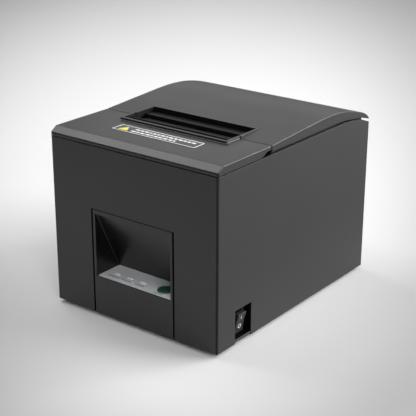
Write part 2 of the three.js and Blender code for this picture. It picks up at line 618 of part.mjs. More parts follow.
// Steel frame of the mechanism: two side plates, a floor, a front wall and a wall for the head springs.
function mechChassis() {
  const { x0, x1, y0, y1, z0, z1, footY, riseZ, frontTop } = CHASSIS;
  const halfX = x0 + BITE;
  const sheet = x1 - x0;
  const side = [[y0, z0], [footY, z0], [y1, riseZ], [y1, z1], [y0, z1]];
  const frame = join(
    bothSides((s) => sidePrism(s, side, x0, x1)),
    box(-halfX, halfX, y0, footY, z0, z0 + sheet),
    box(-halfX, halfX, y0, y0 + sheet, z0, frontTop),
    box(-halfX, halfX, CROSS_WALL.y0, CROSS_WALL.y1, CROSS_WALL.z0, CROSS_WALL.z1),
  );
  // The bushings leave along an arc about the cover hinge, so the slot widens towards the rear.
  const slotR = BUSH.r + GAP;
  const slot = [
    [PLATEN.y - slotR, PLATEN.z], [PLATEN.y + slotR, PLATEN.z],
    [PLATEN.y + slotR + BUSH_SLOT_FLARE, z1 + LAP], [PLATEN.y - slotR, z1 + LAP],
  ];
  const across = x1 + LAP;
  return cut(
    frame,
    bar('x', slotR, -across, across, PLATEN.y, PLATEN.z),
    prism('x', slot, -across, across),
    bar('x', LOCK.rodR + GAP, -across, across, LOCK.y, LOCK.z, 24),
    bar('x', AXLE_R + 2 * GAP, -across, 0, motorY, motorZ, 20),
  );
}

function headSpring(x) {
  const { z, coilR, wireR, coils, steps, slack } = HEAD_SPRING;
  const y0 = HEAD.faceY - HEAD.ceramic - GAP - HEAD.sink - GAP - slack;
  const length = y0 - CROSS_WALL.y1 - GAP - slack;
  class Coil extends THREE.Curve {
    getPoint(t) {
      const turn = 2 * Math.PI * coils * t;
      return new THREE.Vector3(x + coilR * Math.cos(turn), y0 - length * t, z + coilR * Math.sin(turn));
    }
  }
  const wire = new THREE.Shape();
  wire.absarc(0, 0, wireR, 0, 2 * Math.PI);
  return solid(new THREE.ExtrudeGeometry(wire, { extrudePath: new Coil(), steps, curveSegments: 3 }));
}

// Two hooked arms on one rod that keep the platen against the head.
function platenLock() {
  const { y, z, rodR, x0, x1, arm } = LOCK;
  return join(
    bothSides((side) => sidePrism(side, arm, x0, x1)),
    bar('x', rodR, -x1, x1, y, z, 20),
  );
}

// ---------------------------------------------------------------- cutter

// Sliding blade with a shallow V edge and a toothed slot for the pinion.
function cutterBlade() {
  const { halfX, y0, edgeY, veeY, z0, z1 } = BLADE;
  const { x, y } = CUTTER_DRIVE;
  const tip = GEAR.addendum * GEAR.module;
  const root = GEAR.dedendum * GEAR.module;
  const pitch = Math.PI * GEAR.module;
  const slope = Math.tan(THREE.MathUtils.degToRad(GEAR.pressureDeg));
  const pitchX = x + pitchR(TEETH.cutter) + GEAR.slack;
  const reach = pitchR(TEETH.cutter) + tip + LAP;
  const slotY0 = y - reach - CUT_STROKE;
  const slotY1 = y + reach;
  const space = pitch / 4 + GEAR.backlash / 4;
  const slot = [[x - reach, slotY0], [x - reach, slotY1], [pitchX - tip, slotY1]];
  const toothCount = Math.floor((slotY1 - slotY0 - pitch) / pitch);
  const firstGap = Math.floor((slotY1 - y - pitch / 2) / pitch);
  for (let i = 0; i < toothCount; i += 1) {
    const middle = y + (firstGap - i) * pitch;
    slot.push([pitchX - tip, middle + space + tip * slope]);
    slot.push([pitchX + root, middle + space - root * slope]);
    slot.push([pitchX + root, middle - space + root * slope]);
    slot.push([pitchX - tip, middle - space - tip * slope]);
  }
  slot.push([pitchX - tip, slotY0]);
  const plan = [[-halfX, y0], [halfX, y0], [halfX, edgeY], [0, veeY], [-halfX, edgeY]];
  return cut(prism('z', plan, z0, z1), prism('z', slot, z0 - LAP, z1 + LAP));
}

function cutterPinion() {
  const { x, y, z0, z1, motorZ1 } = CUTTER_DRIVE;
  return join(
    prism('z', gearOutline(TEETH.cutter, 0, x, y), z0, z1),
    bar('z', AXLE_R, motorZ1 + GAP, z0 + BITE, x, y, 16),
  );
}

function cutterFrame() {
  const { halfX, railX, y0, y1, z0, z1, railZ } = CUTTER_FRAME;
  return cut(
    join(
      box(-halfX, halfX, y0, y1, z0, z1),
      bothSides((side) => sideBox(side, railX, halfX, y0, y1, z0, railZ)),
      box(-halfX, halfX, y0, y0 + (halfX - railX), z0, railZ),
    ),
    bar('z', AXLE_R + GAP, z0 - LAP, z1 + LAP, CUTTER_DRIVE.x, CUTTER_DRIVE.y, 20),
  );
}

// ---------------------------------------------------------------- paper bay

function paperBucket() {
  const { y, z, r, halfX, wall, frontZ, rimZ, rimY, steps } = BAY;
  const trough = (radius, front, rear) => {
    const outline = [[y - radius, front], [y - radius, z]];
    for (let i = 1; i < steps; i += 1) {
      const t = Math.PI + (Math.PI * i) / steps;
      outline.push([y + radius * Math.cos(t), z + radius * Math.sin(t)]);
    }
    outline.push([y + radius, z], [y + radius, rear], [y + radius - LAP, rear]);
    return outline;
  };
  const tub = prism('x', trough(r + wall, frontZ, rimZ), -halfX - wall, halfX + wall);
  const rim = join(
    bothSides((side) => sideBox(side, halfX, IN_X - 2 * GAP, y - r - wall, rimY, rimZ - wall, rimZ)),
    box(-halfX - wall, halfX + wall, y + r, rimY, rimZ - wall, rimZ),
  );
  const space = join(
    prism('x', trough(r, ABOVE, ABOVE), -halfX, halfX),
    box(-halfX, halfX, y - r, y + r, z, ABOVE),
    box(-halfX, halfX, y - r - wall - LAP, y - r + LAP, frontZ, ABOVE),
  );
  const sideWalls = bothSides((side) =>
    sideBox(side, halfX, halfX + wall, y - r - wall, y + r + wall, z, rimZ));
  return cut(join(tub, rim, sideWalls), space);
}

// ---------------------------------------------------------------- electronics

function port({ x, width, height, holeW, holeH, depth }) {
  const middle = PORT.bottom + height / 2;
  return cut(
    box(x - width / 2, x + width / 2, PORT.y0, PORT.y1, PORT.bottom, PORT.bottom + height),
    box(x - holeW / 2, x + holeW / 2, PORT.y1 - depth, PORT.y1 + LAP, middle - holeH / 2, middle + holeH / 2),
  );
}

// Flat cable from the board up to the head.
function ribbonCable() {
  const { halfX, thick, line } = RIBBON;
  const back = line.map(([a, b]) => [a + thick, b + thick]).reverse();
  return prism('x', [...line, ...back], -halfX, halfX);
}

// ---------------------------------------------------------------- assembly

place('bottom_tray', bottomTray(), charcoal);
place('main_shell', mainShell(), charcoal);
corners(FOOT.x, FOOT.y).forEach(([x, y], i) => {
  place(`rubber_foot_${i + 1}`, bar('z', FOOT.r, 0, FOOT.top, x, y), rubberBlack);
});
corners(SCREW.x, SCREW.y).forEach(([x, y], i) => place(`tray_screw_${i + 1}`, trayScrew(x, y), steel));

place('front_panel', frontPanel(), charcoal);
place('keypad_plate', keypadPlate(), paleGrey);
place('feed_button', feedButton(), darkGreen);
LAMP.xs.forEach((x, i) => {
  const lamp = box(
    x - LAMP.halfX, x + LAMP.halfX, KEYPAD.rowY - LAMP.halfY, KEYPAD.rowY + LAMP.halfY, LAMP.bottom, LAMP.top,
  );
  place(`lamp_window_${i + 1}`, lamp, lampClear);
});
place(
  'lamp_board',
  box(-LAMP_BOARD.halfX, LAMP_BOARD.halfX, LAMP_BOARD.y0, LAMP_BOARD.y1, LAMP_BOARD.bottom, LAMP_BOARD.top),
  boardGreen,
);
place(
  'feed_key_switch',
  box(
    BUTTON.x - KEY_SWITCH.half, BUTTON.x + KEY_SWITCH.half,
    KEYPAD.rowY - KEY_SWITCH.half, KEYPAD.rowY + KEY_SWITCH.half,
    LAMP_BOARD.top + GAP, BUTTON.stemBottom - KEY_SWITCH.gap,
  ),
  innerBlack,
);

place('switch_housing', switchHousing(), innerBlack);
place('power_rocker', powerRocker(), innerBlack);

place('front_lid', frontLid(), charcoal);
const labelZ = LID.top + LABEL.lift;
place('lid_label', box(LABEL.x0, LABEL.x1, LABEL.y0, LABEL.y1, labelZ, labelZ + LABEL.thick), labelBlack);
place('tear_bar', box(-TEAR.halfX, TEAR.halfX, TEAR.frontY, TEAR.rearY, TEAR.bottom, TEAR.top), innerBlack);

place('paper_cover', paperCover(), charcoal);
place('cover_liner', coverLiner(), innerBlack);
for (const [side, word] of [[-1, 'left'], [1, 'right']]) {
  const pin = sideBar(side, HINGE.pinR, HINGE_PIN.x0, HINGE_PIN.x1, HINGE.y, HINGE.z, 24);
  place(`hinge_pin_${word}`, pin, steel);
  place(`platen_bushing_${word}`, platenBushing(side), innerBlack);
}

place('platen_shaft', bar('x', PLATEN.shaftR, PLATEN.shaftX0, PLATEN.shaftX1, PLATEN.y, PLATEN.z, 24), steel);
place('platen_rubber', platenRubber(), rubberBlack);
const platenGear = boredGear(TEETH.platen, platenPhase, PLATEN.y, PLATEN.z, PLATEN.shaftR + FIT);
place('platen_gear', platenGear, gearWhite);
place('idler_gear', boredGear(TEETH.idler, idlerPhase, idlerY, idlerZ, IDLER_POST.r + GAP), gearWhite);
place('idler_post', bar('x', IDLER_POST.r, IDLER_POST.x0, -CHASSIS.x1 - GAP, idlerY, idlerZ, 24), steel);
place('feed_pinion', feedPinion(), gearWhite);
place('feed_motor', bar('x', FEED_MOTOR.r, FEED_MOTOR.x0, FEED_MOTOR.x1, motorY, motorZ), steel);

place('mech_chassis', mechChassis(), steel);
const ceramicY = HEAD.faceY - HEAD.ceramic;
place('thermal_head', box(-HEAD.halfX, HEAD.halfX, ceramicY, HEAD.faceY, HEAD.z0 + 4, HEAD.z1), ceramicWhite);
place(
  'heat_sink',
  box(-HEAD.halfX, HEAD.halfX, ceramicY - GAP - HEAD.sink, ceramicY - GAP, HEAD.z0, HEAD.z1),
  aluminium,
);
place('head_spring_left', headSpring(-HEAD_SPRING.x), steel);
place('head_spring_right', headSpring(HEAD_SPRING.x), steel);
place('platen_lock', platenLock(), steel);

place('cutter_frame', cutterFrame(), steel);
place('cutter_blade', cutterBlade(), steel);
place('cutter_pinion', cutterPinion(), gearWhite);
place(
  'cutter_motor',
  bar('z', CUTTER_DRIVE.motorR, CUTTER_DRIVE.motorZ0, CUTTER_DRIVE.motorZ1, CUTTER_DRIVE.x, CUTTER_DRIVE.y),
  steel,
);
place(
  'fixed_blade',
  box(-FIXED_BLADE.halfX, FIXED_BLADE.halfX, FIXED_BLADE.y0, FIXED_BLADE.y1, FIXED_BLADE.z0, FIXED_BLADE.z1),
  steel,
);
place(
  'blade_holder',
  box(
    -BLADE_HOLDER.halfX, BLADE_HOLDER.halfX, BLADE_HOLDER.y0, BLADE_HOLDER.y1,
    BLADE_HOLDER.z0, BLADE_HOLDER.z1,
  ),
  innerBlack,
);

place('paper_bucket', paperBucket(), innerBlack);
place(
  'paper_end_sensor',
  box(SENSOR.x0, SENSOR.x1, SENSOR.y0, SENSOR.y1, SENSOR.z0, SENSOR.z1),
  innerBlack,
);
place('main_board', box(-BOARD.halfX, BOARD.halfX, BOARD.y0, BOARD.y1, BOARD.bottom, BOARD.top), boardGreen);
for (const [name, spec] of Object.entries(PORTS)) place(name, port(spec), innerBlack);
place('ribbon_cable', ribbonCable(), ribbonWhite);

export default printer;
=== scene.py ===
# %% [markdown]
# # A desktop receipt printer, finished for rendering
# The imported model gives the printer's real pieces at their real places, in metres, with +Z up,
# the front at -Y and the power switch on +X. This script keeps that frame, gives every piece its
# finish, and swaps the plain visible pieces for finer ones that sit in exactly the same place.

import json
import math

import bmesh
import bpy
import numpy as np
from mathutils import Matrix, Vector

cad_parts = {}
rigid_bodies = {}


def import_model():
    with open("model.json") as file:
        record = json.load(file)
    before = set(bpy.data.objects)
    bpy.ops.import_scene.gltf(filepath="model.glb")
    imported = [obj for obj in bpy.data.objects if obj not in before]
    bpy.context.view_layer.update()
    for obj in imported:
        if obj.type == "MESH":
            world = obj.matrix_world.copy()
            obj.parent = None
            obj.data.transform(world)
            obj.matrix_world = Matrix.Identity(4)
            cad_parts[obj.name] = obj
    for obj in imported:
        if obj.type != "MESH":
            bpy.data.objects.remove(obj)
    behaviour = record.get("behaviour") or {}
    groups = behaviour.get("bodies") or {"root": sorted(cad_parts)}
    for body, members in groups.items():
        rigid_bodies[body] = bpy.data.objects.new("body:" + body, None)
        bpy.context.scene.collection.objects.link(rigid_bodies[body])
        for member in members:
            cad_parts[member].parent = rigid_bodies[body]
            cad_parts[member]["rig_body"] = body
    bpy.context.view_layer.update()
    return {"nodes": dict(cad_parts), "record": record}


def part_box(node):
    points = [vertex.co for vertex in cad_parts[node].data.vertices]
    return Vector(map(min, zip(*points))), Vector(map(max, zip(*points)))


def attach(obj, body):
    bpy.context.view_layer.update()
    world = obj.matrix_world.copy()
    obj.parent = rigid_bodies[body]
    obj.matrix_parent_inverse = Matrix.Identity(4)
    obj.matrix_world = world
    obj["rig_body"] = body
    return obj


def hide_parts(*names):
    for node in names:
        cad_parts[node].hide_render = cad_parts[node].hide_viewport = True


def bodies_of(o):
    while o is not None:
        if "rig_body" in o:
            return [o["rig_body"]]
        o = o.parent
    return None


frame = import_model()
MM = 0.001
scene = bpy.context.scene
print("pieces in the frame:", len(frame["nodes"]))

# %% [markdown]
# ## The camera
# A product picture is taken from far away with a long lens, so that upright edges stay almost
# parallel. The camera is placed by compass angle, height angle and distance from an aim point,
# which is easier to reason about than raw coordinates.

# %% Camera
CAMERA_AZIMUTH = math.radians(37.41)
CAMERA_ELEVATION = math.radians(20.95)
CAMERA_ROLL = math.radians(0.16)
CAMERA_DISTANCE = 829.2 * MM
CAMERA_AIM = Vector((-7.0, 0.0, 60.0)) * MM
LENS_MM = 96.75

back = Vector((
    math.sin(CAMERA_AZIMUTH) * math.cos(CAMERA_ELEVATION),
    -math.cos(CAMERA_AZIMUTH) * math.cos(CAMERA_ELEVATION),
    math.sin(CAMERA_ELEVATION),
))
camera = bpy.data.objects.new("camera", bpy.data.cameras.new("camera"))
camera.data.lens = LENS_MM
camera.data.sensor_width = 36.0
camera.data.clip_start = 0.01
camera.data.clip_end = 50.0
camera.location = CAMERA_AIM + back * CAMERA_DISTANCE
roll = Matrix.Rotation(CAMERA_ROLL, 3, "Z").to_quaternion()
camera.rotation_mode = "QUATERNION"
camera.rotation_quaternion = (-back).to_track_quat("-Z", "Y") @ roll
scene.collection.objects.link(camera)
scene.camera = camera
print("camera at", [round(v, 3) for v in camera.location])

# %% [markdown]
# ## The studio
# The printer stands on a wide pale floor. Dark plastic shows mostly what it mirrors, so the room
# matters more than the lamps: a bright room behind lights up the top by grazing reflection, and a
# dark room in front leaves the front face almost black.
#
# The floor's colour carries a painted pool of light. It is painted palest in a soft round pool about
# the camera's line of sight, as a lamp clamped to the camera would light it, and greyer outside it.
# The angle between that line and each point of the floor sets how pale it is. The pool is worked out
# from the camera's place once, when the script runs, so it then lies still on the floor.

# %% Floor
def node_material(name):
    """An empty node material with a Principled shader, as (material, nodes, links, shader)."""
    material = bpy.data.materials.new(name)
    material.use_nodes = True
    nodes = material.node_tree.nodes
    return material, nodes, material.node_tree.links, nodes["Principled BSDF"]


FLOOR_HALF = 6.0
FLOOR_NEAR = 0.61                   # how pale the middle of the pool is
FLOOR_FAR = 0.285                   # how pale the floor is outside the pool
POOL_RIGHT = math.radians(-1.6)     # how far the pool's axis turns from the camera's line of sight
POOL_UP = math.radians(1.0)
POOL_SPREAD = math.radians(16.2)    # angle from the axis at which the pool has faded

floor_corners = [(x * FLOOR_HALF, y * FLOOR_HALF, 0) for x, y in ((-1, -1), (1, -1), (1, 1), (-1, 1))]
floor_mesh = bpy.data.meshes.new("floor")
floor_mesh.from_pydata(floor_corners, [], [(0, 1, 2, 3)])
floor = bpy.data.objects.new("floor", floor_mesh)
scene.collection.objects.link(floor)
floor_material, nodes, links, floor_shader = node_material("floor_painted_pool")
sideways = Vector((math.cos(CAMERA_AZIMUTH), math.sin(CAMERA_AZIMUTH), 0))
upward = back.cross(sideways)
pool_axis = (math.tan(POOL_RIGHT) * sideways + math.tan(POOL_UP) * upward - back).normalized()
outward = nodes.new("ShaderNodeVectorMath")
outward.operation = "SUBTRACT"
outward.inputs[1].default_value = camera.location
links.new(nodes.new("ShaderNodeTexCoord").outputs["Object"], outward.inputs[0])
heading = nodes.new("ShaderNodeVectorMath")
heading.operation = "NORMALIZE"
links.new(outward.outputs["Vector"], heading.inputs[0])
agreement = nodes.new("ShaderNodeVectorMath")
agreement.operation = "DOT_PRODUCT"
agreement.inputs[1].default_value = pool_axis
links.new(heading.outputs["Vector"], agreement.inputs[0])
# The floor's base colour: a painted pool of light, palest along the pool's axis.
fade = nodes.new("ShaderNodeMapRange")
fade.interpolation_type = "SMOOTHSTEP"
fade.inputs["From Min"].default_value = math.cos(POOL_SPREAD)
fade.inputs["From Max"].default_value = 1.0
fade.inputs["To Min"].default_value = FLOOR_FAR
fade.inputs["To Max"].default_value = FLOOR_NEAR
links.new(agreement.outputs["Value"], fade.inputs["Value"])
links.new(fade.outputs["Result"], floor_shader.inputs["Base Color"])
floor_shader.inputs["Roughness"].default_value = 0.9
floor_shader.inputs["Specular IOR Level"].default_value = 0.0
floor_mesh.materials.append(floor_material)
print("floor:", 2 * FLOOR_HALF, "m square")

# %% Room and lamps
ROOM_DARK = 0.0085      # brightness of the room in front
ROOM_BRIGHT = 0.047     # brightness of the room behind

world = bpy.data.worlds.new("studio")
world.use_nodes = True
scene.world = world
nodes, links = world.node_tree.nodes, world.node_tree.links
direction = nodes.new("ShaderNodeTexCoord")
split = nodes.new("ShaderNodeSeparateXYZ")
ramp = nodes.new("ShaderNodeMapRange")
ramp.interpolation_type = "SMOOTHSTEP"
ramp.inputs["From Min"].default_value = -0.3
ramp.inputs["From Max"].default_value = 0.6
ramp.inputs["To Min"].default_value = ROOM_DARK
ramp.inputs["To Max"].default_value = ROOM_BRIGHT
nodes["Background"].inputs["Color"].default_value = (1, 1, 1, 1)
links.new(direction.outputs["Generated"], split.inputs[0])
links.new(split.outputs["Y"], ramp.inputs["Value"])
links.new(ramp.outputs["Result"], nodes["Background"].inputs["Strength"])

LAMP_AIM = Vector((0.0, 0.0, 0.07))
# Direction from the printer, distance and side in metres, brightness. The brightness values were
# solved for together, by least squares on trial renders of one lamp each, and then rounded.
LAMPS = {
    "overhead": ((0.0, 0.0, 1.0), 1.6, 1.2, 1.6),
    "overhead_left": ((-0.567, -0.01, 0.822), 1.5, 0.9, 5.13),
    "right_front": ((0.6, -0.6, 0.5), 1.7, 0.8, 8.1),
    "right_rear": ((0.75, 0.55, 0.42), 1.7, 1.3, 9.6),
    "rear": ((0.0, 0.95, 0.3), 1.8, 1.0, 0.8),
    "rear_left": ((-0.5, 0.75, 0.40), 1.8, 1.0, 0.95),
    "rim": ((0.358, 0.742, 0.567), 1.6, 0.6, 7.0),
}


def softbox(name, direction, distance, side, brightness):
    """A square lamp that faces the printer. Its power in watts is brightness times area times pi."""
    lamp = bpy.data.objects.new(name, bpy.data.lights.new(name, "AREA"))
    lamp.data.shape = "SQUARE"
    lamp.data.size = side
    lamp.data.energy = brightness * side * side * math.pi
    outward = Vector(direction).normalized()
    lamp.location = LAMP_AIM + outward * distance
    lamp.rotation_mode = "QUATERNION"
    lamp.rotation_quaternion = (-outward).to_track_quat("-Z", "Y")
    scene.collection.objects.link(lamp)


for lamp_name, setting in LAMPS.items():
    softbox(lamp_name, *setting)

scene.view_settings.view_transform = "Standard"

# %% [markdown]
# In a studio a card on the table decides what the two upright faces mirror along their feet. This one
# is a fan on the floor round the case's near corner: pale on the side of the front face, black on the
# side of the power switch, with a short grade between them. Only reflections see it: it lights nothing
# and casts no shadow, so the tones it lays along those faces are painted reflection.

# %% Card on the floor
CARD_POINTS = 48
CARD_SWEEP = (-110, 98)      # compass angles of the fan's two ends, from straight ahead
CARD_REACH = 0.6
CARD_HEIGHT = 0.0002
CARD_PALE = (0.43, 0.62)     # part of a full turn, and how pale the card is there
CARD_BLACK = (0.53, 0.02)
CARD_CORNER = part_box("main_shell")[1][0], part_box("main_shell")[0][1]

angle = np.radians(np.linspace(*CARD_SWEEP, CARD_POINTS))
fan = np.column_stack([
    CARD_CORNER[0] + CARD_REACH * np.sin(angle), CARD_CORNER[1] - CARD_REACH * np.cos(angle),
    np.full(CARD_POINTS, CARD_HEIGHT),
])
card_mesh = bpy.data.meshes.new("painted_reflection_card")
card_corners = [(*CARD_CORNER, CARD_HEIGHT), *fan.tolist()]
card_mesh.from_pydata(card_corners, [], [tuple(range(CARD_POINTS + 1))])
card = bpy.data.objects.new("painted_reflection_card", card_mesh)
card_material, nodes, links, shader = node_material("painted_reflection_card")
turn = nodes.new("ShaderNodeMapping")
turn.vector_type = "TEXTURE"
turn.inputs["Location"].default_value = (*CARD_CORNER, 0)
turn.inputs["Rotation"].default_value = (0, 0, math.radians(-90))
radial = nodes.new("ShaderNodeTexGradient")
radial.gradient_type = "RADIAL"
shades = nodes.new("ShaderNodeValToRGB")
for stop, (place, tone) in zip(shades.color_ramp.elements, (CARD_PALE, CARD_BLACK)):
    stop.position = place
    stop.color = (tone, tone, tone, 1)
links.new(nodes.new("ShaderNodeTexCoord").outputs["Object"], turn.inputs["Vector"])
links.new(turn.outputs["Vector"], radial.inputs["Vector"])
links.new(radial.outputs["Fac"], shades.inputs["Fac"])
links.new(shades.outputs["Color"], shader.inputs["Base Color"])
shader.inputs["Specular IOR Level"].default_value = 0.0
card_mesh.materials.append(card_material)
scene.collection.objects.link(card)
# Seen only in reflections: the card paints reflected tone onto the faces near the corner.
card.visible_camera = card.visible_diffuse = card.visible_shadow = False
print("card reaches", CARD_REACH, "m from the near corner")

# %% [markdown]
# ## Finishes
# The case is injection-moulded plastic from a spark-eroded tool. It has a very fine even grain that
# scatters light, a faint drift of tone over each large face, and almost no colour of its own: nearly
# everything seen on it is reflection. An image of plastic could be pasted on, but it would need UV
# maps and would stretch. Noise read in object coordinates needs neither, and its scale is in metres.

# %% Noise at a known size
def noise(nodes, links, coordinates, size_mm, detail=2.0, roughness=0.5):
    """Noise whose bumps are about size_mm across: the scale counts bumps per metre."""
    node = nodes.new("ShaderNodeTexNoise")
    node.inputs["Scale"].default_value = 1 / (size_mm * MM)
    node.inputs["Detail"].default_value = detail
    node.inputs["Roughness"].default_value = roughness
    links.new(coordinates, node.inputs["Vector"])
    return node.outputs["Fac"]


def spread(nodes, links, value, low, high):
    """Maps a noise value from its usual range of 0.3 to 0.7 onto low to high."""
    node = nodes.new("ShaderNodeMapRange")
    node.inputs["From Min"].default_value = 0.3
    node.inputs["From Max"].default_value = 0.7
    node.inputs["To Min"].default_value = low
    node.inputs["To Max"].default_value = high
    links.new(value, node.inputs["Value"])
    return node.outputs["Result"]


def raised(nodes, links, shader, height, depth_mm):
    """Turns a height into a small tilt of the surface."""
    bump = nodes.new("ShaderNodeBump")
    bump.inputs["Distance"].default_value = depth_mm * MM
    links.new(height, bump.inputs["Height"])
    links.new(bump.outputs["Normal"], shader.inputs["Normal"])


def two_tone(nodes, links, shader, value, colour, shift):
    """Drifts the base colour a little to both sides of its mean."""
    tone = nodes.new("ShaderNodeMix")
    tone.data_type = "RGBA"
    tone.inputs["A"].default_value = (*[c * (1 - shift) for c in colour], 1)
    tone.inputs["B"].default_value = (*[c * (1 + shift) for c in colour], 1)
    links.new(spread(nodes, links, value, 0, 1), tone.inputs["Factor"])
    links.new(tone.outputs["Result"], shader.inputs["Base Color"])


CLOUD_MM = 45

# %% Moulded plastic
def moulded(name, colour, roughness, grain_mm=0.45, depth_mm=0.008, shift=0.06, specular=0.5):
    """Textured plastic: fine noise lifts it, and noise CLOUD_MM across drifts its tone and gloss."""
    material, nodes, links, shader = node_material(name)
    place = nodes.new("ShaderNodeTexCoord").outputs["Object"]
    cloud = noise(nodes, links, place, CLOUD_MM)
    two_tone(nodes, links, shader, cloud, colour, shift)
    links.new(spread(nodes, links, cloud, roughness - 0.02, roughness + 0.02), shader.inputs["Roughness"])
    raised(nodes, links, shader, noise(nodes, links, place, grain_mm, 3.0, 0.6), depth_mm)
    shader.inputs["Specular IOR Level"].default_value = specular
    return material


# The recess, exit and shadow finishes are painted shade: the same plastic as the case with a darker
# colour, and for the exit and shadow a weaker reflection too, for faces where little light gets in.
case_plastic = moulded("case_plastic", (0.0095, 0.0095, 0.0092), 0.42)
inner_plastic = moulded("inner_plastic", (0.009, 0.009, 0.0092), 0.50, grain_mm=0.8)
recess_painted_shade = moulded("recess_painted_shade", (0.0025, 0.0025, 0.0025), 0.30, depth_mm=0.004)
deep_painted_shade = moulded("deep_painted_shade", (0.0010, 0.0010, 0.0010), 0.60, specular=0.06)
exit_painted_shade = moulded("exit_painted_shade", (0.0020, 0.0020, 0.0020), 0.55, specular=0.2)
keypad_plastic = moulded("keypad_plastic", (0.60, 0.61, 0.63), 0.38, grain_mm=0.3, depth_mm=0.003)
button_plastic = moulded("button_plastic", (0.012, 0.070, 0.042), 0.42, grain_mm=0.3, depth_mm=0.003)
lamp_plastic = moulded("lamp_plastic", (0.86, 0.88, 0.88), 0.20, grain_mm=0.5, depth_mm=0.002, shift=0.02)
rubber = moulded("rubber", (0.013, 0.013, 0.013), 0.75, grain_mm=0.5, depth_mm=0.01, specular=0.3)
gear_plastic = moulded("gear_plastic", (0.72, 0.70, 0.64), 0.38, grain_mm=1.2, depth_mm=0.003)
label_film = moulded("label_film", (0.022, 0.022, 0.022), 0.40, grain_mm=0.6, depth_mm=0.002)
ceramic = moulded("ceramic", (0.75, 0.73, 0.67), 0.2, grain_mm=2.0, depth_mm=0.001)
print("plastics ready")

# %% [markdown]
# Printed marks are a thin coat of ink, so each has the colour of its ink and an edge that catches a
# little light. They are real pieces a few hundredths of a millimetre thick rather than a pattern in
# the plastic's material, which keeps them sharp from any distance.

# %% Inks
label_ink = moulded("label_ink", (0.62, 0.62, 0.61), 0.5, grain_mm=0.4, depth_mm=0.002, shift=0.15)
amber_ink = moulded("amber_ink", (0.66, 0.58, 0.06), 0.45, grain_mm=0.4, depth_mm=0.002, shift=0.1)
keypad_ink = moulded("keypad_ink", (0.11, 0.11, 0.12), 0.5, grain_mm=0.4, depth_mm=0.002, shift=0.2)
switch_ink = moulded("switch_ink", (0.72, 0.72, 0.70), 0.45, grain_mm=0.4, depth_mm=0.002, shift=0.1)
print("inks ready")

# %% [markdown]
# Sheet metal carries fine streaks from the rollers. Noise squeezed along one direction gives them,
# and drives both the gloss and a bump of a few thousandths of a millimetre.

# %% Metals
def rolled_metal(name, colour, roughness, along=(1, 12, 12)):
    """Sheet metal: noise stretched along the rolling direction drives gloss and a fine bump."""
    material, nodes, links, shader = node_material(name)
    mapping = nodes.new("ShaderNodeMapping")
    mapping.inputs["Scale"].default_value = along
    links.new(nodes.new("ShaderNodeTexCoord").outputs["Object"], mapping.inputs["Vector"])
    streaks = noise(nodes, links, mapping.outputs["Vector"], 4, 4.0)
    links.new(spread(nodes, links, streaks, roughness - 0.07, roughness + 0.1), shader.inputs["Roughness"])
    two_tone(nodes, links, shader, streaks, colour, 0.05)
    raised(nodes, links, shader, streaks, 0.004)
    shader.inputs["Metallic"].default_value = 1.0
    return material


steel = rolled_metal("steel", (0.56, 0.57, 0.58), 0.32)
aluminium = rolled_metal("aluminium", (0.78, 0.79, 0.80), 0.38)
gold_plate = rolled_metal("gold_plate", (0.83, 0.62, 0.26), 0.28)
print("metals ready")

# %% [markdown]
# The circuit boards are green lacquer over copper tracks. The tracks show as slightly raised, paler
# lines. A brick pattern with long thin bricks reads as bundles of tracks, at almost no cost. The
# ribbon cable is a row of wires side by side, which a wave pattern across it gives.

# %% Lacquered board and ribbon
def lacquered_board(name, dark, pale, track_mm=0.9):
    """Circuit board: the joints of a brick pattern are the tracks, paler and a little raised."""
    material, nodes, links, shader = node_material(name)
    tracks = nodes.new("ShaderNodeTexBrick")
    tracks.inputs["Scale"].default_value = 1.0
    tracks.inputs["Brick Width"].default_value = 14 * track_mm * MM
    tracks.inputs["Row Height"].default_value = 2.2 * track_mm * MM
    tracks.inputs["Mortar Size"].default_value = 0.3 * track_mm * MM
    tracks.inputs["Color1"].default_value = tracks.inputs["Color2"].default_value = (*dark, 1)
    tracks.inputs["Mortar"].default_value = (*pale, 1)
    links.new(nodes.new("ShaderNodeTexCoord").outputs["Object"], tracks.inputs["Vector"])
    links.new(tracks.outputs["Color"], shader.inputs["Base Color"])
    raised(nodes, links, shader, tracks.outputs["Fac"], 0.03)
    shader.inputs["Roughness"].default_value = 0.3
    return material


def wire_ribbon(name, colour, pitch_mm=1.0):
    """Flat cable: a sine wave across its width lifts each wire."""
    material, nodes, links, shader = node_material(name)
    wires = nodes.new("ShaderNodeTexWave")
    wires.bands_direction = "X"
    wires.inputs["Scale"].default_value = math.pi / 10 / (pitch_mm * MM)
    links.new(nodes.new("ShaderNodeTexCoord").outputs["Object"], wires.inputs["Vector"])
    two_tone(nodes, links, shader, wires.outputs["Fac"], colour, 0.1)
    raised(nodes, links, shader, wires.outputs["Fac"], 0.15)
    shader.inputs["Roughness"].default_value = 0.4
    return material


board_lacquer = lacquered_board("board_lacquer", (0.010, 0.085, 0.035), (0.030, 0.16, 0.065))
ribbon_film = wire_ribbon("ribbon_film", (0.62, 0.59, 0.50))
print("board and ribbon ready")

# %% Dress the frame's own pieces
FINISHES = {
    "charcoal_plastic": case_plastic, "black_plastic": inner_plastic, "black_rubber": rubber,
    "grey_keypad": keypad_plastic, "green_button": button_plastic, "lamp_plastic": lamp_plastic,
    "circuit_board": board_lacquer, "gear_plastic": gear_plastic, "label_film": label_film,
    "head_ceramic": ceramic, "aluminium": aluminium, "ribbon": ribbon_film, "steel": steel,
}
slot_of = {row["node"]: row["material_slot"] for row in frame["record"]["subparts"]}
for node, piece in frame["nodes"].items():
    piece.data.materials.clear()
    piece.data.materials.append(FINISHES[slot_of[node]])
print("dressed:", len(slot_of), "pieces in", len(set(slot_of.values())), "finishes")

